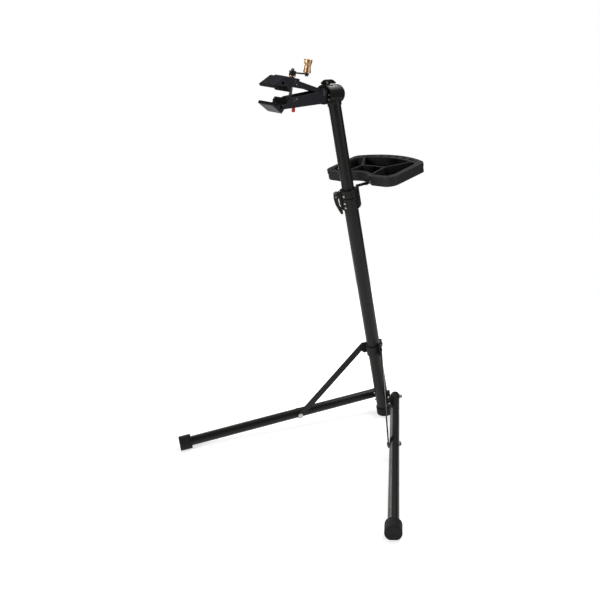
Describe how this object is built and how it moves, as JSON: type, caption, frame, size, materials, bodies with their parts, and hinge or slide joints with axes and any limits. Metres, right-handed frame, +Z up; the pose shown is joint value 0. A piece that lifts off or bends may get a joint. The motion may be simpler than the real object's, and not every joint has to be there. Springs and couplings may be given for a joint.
{
  "type": "bicycle repair stand",
  "caption": "Folding work stand: leaning telescopic mast on two braced legs, with a tool tray and a turning screw clamp that grips a bicycle's seat post or tube.",
  "frame": {"origin": "where the mast's axis meets the floor, on the underside of the mast's foot", "axes": "+Z up. The mast leans towards -Y, the clamp arm reaches out along -Y, and the legs spread towards -Y, one to -X and one to +X. The tray is behind the mast, towards +Y."},
  "size_m": [0.883, 0.6662, 1.2176],
  "materials": {
    "black_paint": "satin black powder coat",
    "dark_casting": "satin dark coating",
    "charcoal_arm": "satin charcoal coating",
    "black_plastic": "moulded, fine grain",
    "tray_plastic": "moulded, fine grain",
    "black_rubber": "matte",
    "bolt_steel": "zinc plated",
    "washer_brass": "turned",
    "spool_brass": "turned, satin",
    "red_button": "gloss"
  },
  "bodies": {
    "mast_base": {"mast_foot_cap": "black_rubber", "lower_mast_tube": "black_paint", "leg_hub": "black_paint", "leg_pivot_bolts": "bolt_steel", "leg_pivot_nuts": "bolt_steel", "leg_hub_screws": "bolt_steel", "height_clamp_body": "dark_casting", "height_clamp_ring": "dark_casting", "height_cam_pin": "bolt_steel", "height_clamp_screws": "bolt_steel", "tray_bracket": "black_paint", "tray_bracket_screws": "bolt_steel", "tool_tray": "tray_plastic"},
    "left_leg": {"left_leg_tube": "black_paint", "left_leg_plug": "black_plastic", "left_foot": "black_rubber", "left_brace_bolt": "bolt_steel"},
    "right_leg": {"right_leg_tube": "black_paint", "right_leg_plug": "black_plastic", "right_foot": "black_rubber", "right_brace_bolt": "bolt_steel"},
    "left_strut": {"left_brace": "black_paint", "left_brace_rivet": "bolt_steel"},
    "right_strut": {"right_brace": "black_paint", "right_brace_rivet": "bolt_steel"},
    "collar": {"brace_collar": "black_plastic"},
    "knob": {"collar_knob": "black_plastic"},
    "cam_lever": {"height_lever": "black_paint"},
    "bush": {"guide_bush": "black_plastic"},
    "upper_mast": {"upper_mast_tube": "black_paint", "bush_rings": "bolt_steel", "head_housing": "dark_casting", "head_bearing": "black_plastic", "head_lever_pin": "bolt_steel", "head_screws": "bolt_steel"},
    "quick_release": {"head_lever": "black_paint"},
    "clamp_arm": {"arm_shaft": "bolt_steel", "index_disc": "dark_casting", "disc_screws": "bolt_steel", "lower_arm": "charcoal_arm", "lower_arm_bolts": "bolt_steel", "lower_jaw": "charcoal_arm", "lower_jaw_pads": "black_rubber", "jaw_hinge_pin": "bolt_steel", "jaw_hinge_nut": "bolt_steel"},
    "upper_jaw_arm": {"upper_arm": "charcoal_arm", "upper_arm_bolts": "bolt_steel", "upper_jaw": "charcoal_arm", "upper_jaw_pads": "black_rubber"},
    "swivel": {"screw_trunnion": "bolt_steel"},
    "spindle": {"clamp_screw": "bolt_steel", "thrust_washer": "washer_brass", "crank_hub": "dark_casting", "crank_nut": "bolt_steel", "crank_arm": "dark_casting", "handle_bolt": "bolt_steel"},
    "cross_nut": {"barrel_nut": "bolt_steel"},
    "handle": {"spool_handle": "spool_brass"},
    "release": {"release_button": "red_button"}
  },
  "joints": [
    {"name": "leg_fold", "type": "hinge", "parent": "mast_base", "child": "left_leg", "pos_m": [-0.03859, 0.01237, 0.0676], "axis": [-0.8388, 0.5344, 0.1039], "range_deg": [0, 76.6]},
    {"name": "right_leg_fold", "type": "hinge", "parent": "mast_base", "child": "right_leg", "pos_m": [0.03859, 0.01237, 0.0676], "axis": [-0.8388, -0.5344, -0.1039], "range_deg": [0, 76.6]},
    {"name": "collar_slide", "type": "slide", "parent": "mast_base", "child": "collar", "axis": [0, -0.1908, 0.9816], "range_m": [0, 0.402]},
    {"name": "left_strut_swing", "type": "hinge", "parent": "left_leg", "child": "left_strut", "pos_m": [-0.18262, -0.24486, 0.04588], "axis": [0.8388, -0.5344, -0.1039], "range_deg": [0, 129.3]},
    {"name": "right_strut_swing", "type": "hinge", "parent": "right_leg", "child": "right_strut", "pos_m": [0.18262, -0.24486, 0.04588], "axis": [0.8388, 0.5344, 0.1039], "range_deg": [0, 129.3]},
    {"name": "knob_turn", "type": "hinge", "parent": "collar", "child": "knob", "pos_m": [0, -0.01225, 0.27267], "axis": [0, 0.9816, 0.1908], "range_deg": [0, 720]},
    {"name": "height_lever_open", "type": "hinge", "parent": "mast_base", "child": "cam_lever", "pos_m": [-0.03231, -0.18334, 0.81092], "axis": [-0.6157, 0.7735, 0.1504], "range_deg": [0, 120]},
    {"name": "height_slide", "type": "slide", "parent": "mast_base", "child": "bush", "axis": [0, -0.1908, 0.9816], "range_m": [-0.12, 0.38]},
    {"name": "mast_turn", "type": "hinge", "parent": "bush", "child": "upper_mast", "pos_m": [0, -0.11449, 0.58898], "axis": [0, -0.1908, 0.9816], "continuous": true},
    {"name": "head_lever_open", "type": "hinge", "parent": "upper_mast", "child": "quick_release", "pos_m": [0, -0.25333, 1.15007], "axis": [1, 0, 0], "range_deg": [0, 110]},
    {"name": "clamp_turn", "type": "hinge", "parent": "upper_mast", "child": "clamp_arm", "pos_m": [0, -0.21733, 1.11807], "axis": [0, -1, 0], "continuous": true},
    {"name": "jaw_open", "type": "hinge", "parent": "clamp_arm", "child": "upper_jaw_arm", "pos_m": [0.00097, -0.28003, 1.12501], "axis": [-0.9903, 0, 0.1392], "range_deg": [-3.6, 7.1]},
    {"name": "swivel_tilt", "type": "hinge", "parent": "upper_jaw_arm", "child": "swivel", "pos_m": [0.00581, -0.40115, 1.1594], "axis": [-0.9903, 0, 0.1392], "range_deg": [-3.6, 1.9]},
    {"name": "crank_spin", "type": "hinge", "parent": "swivel", "child": "spindle", "pos_m": [0.00581, -0.40115, 1.1594], "axis": [0.1386, 0.0872, 0.9865], "range_deg": [-540, 1080]},
    {"name": "nut_tilt", "type": "hinge", "parent": "clamp_arm", "child": "cross_nut", "pos_m": [-0.00086, -0.40534, 1.11196], "axis": [-0.9903, 0, 0.1392], "range_deg": [-1.9, 3.6]},
    {"name": "handle_spin", "type": "hinge", "parent": "spindle", "child": "handle", "pos_m": [0.00508, -0.34138, 1.15422], "axis": [0.1386, 0.0872, 0.9865], "continuous": true},
    {"name": "release_press", "type": "slide", "parent": "clamp_arm", "child": "release", "axis": [0.1392, 0, 0.9903], "range_m": [0, 0.003], "stiffness_N_per_m": 150, "springref_m": -0.002}
  ],
  "couplings": [
    {"joint": "right_leg_fold", "follows": "leg_fold", "ratio": 1},
    {"joint": "collar_slide", "follows": "leg_fold", "m_per_rad": 0.29972},
    {"joint": "left_strut_swing", "follows": "leg_fold", "ratio": 1.6848},
    {"joint": "right_strut_swing", "follows": "leg_fold", "ratio": 1.6848},
    {"joint": "jaw_open", "follows": "crank_spin", "ratio": 0.0064815},
    {"joint": "swivel_tilt", "follows": "crank_spin", "ratio": -0.0032408},
    {"joint": "nut_tilt", "follows": "crank_spin", "ratio": 0.0032408}
  ]
}
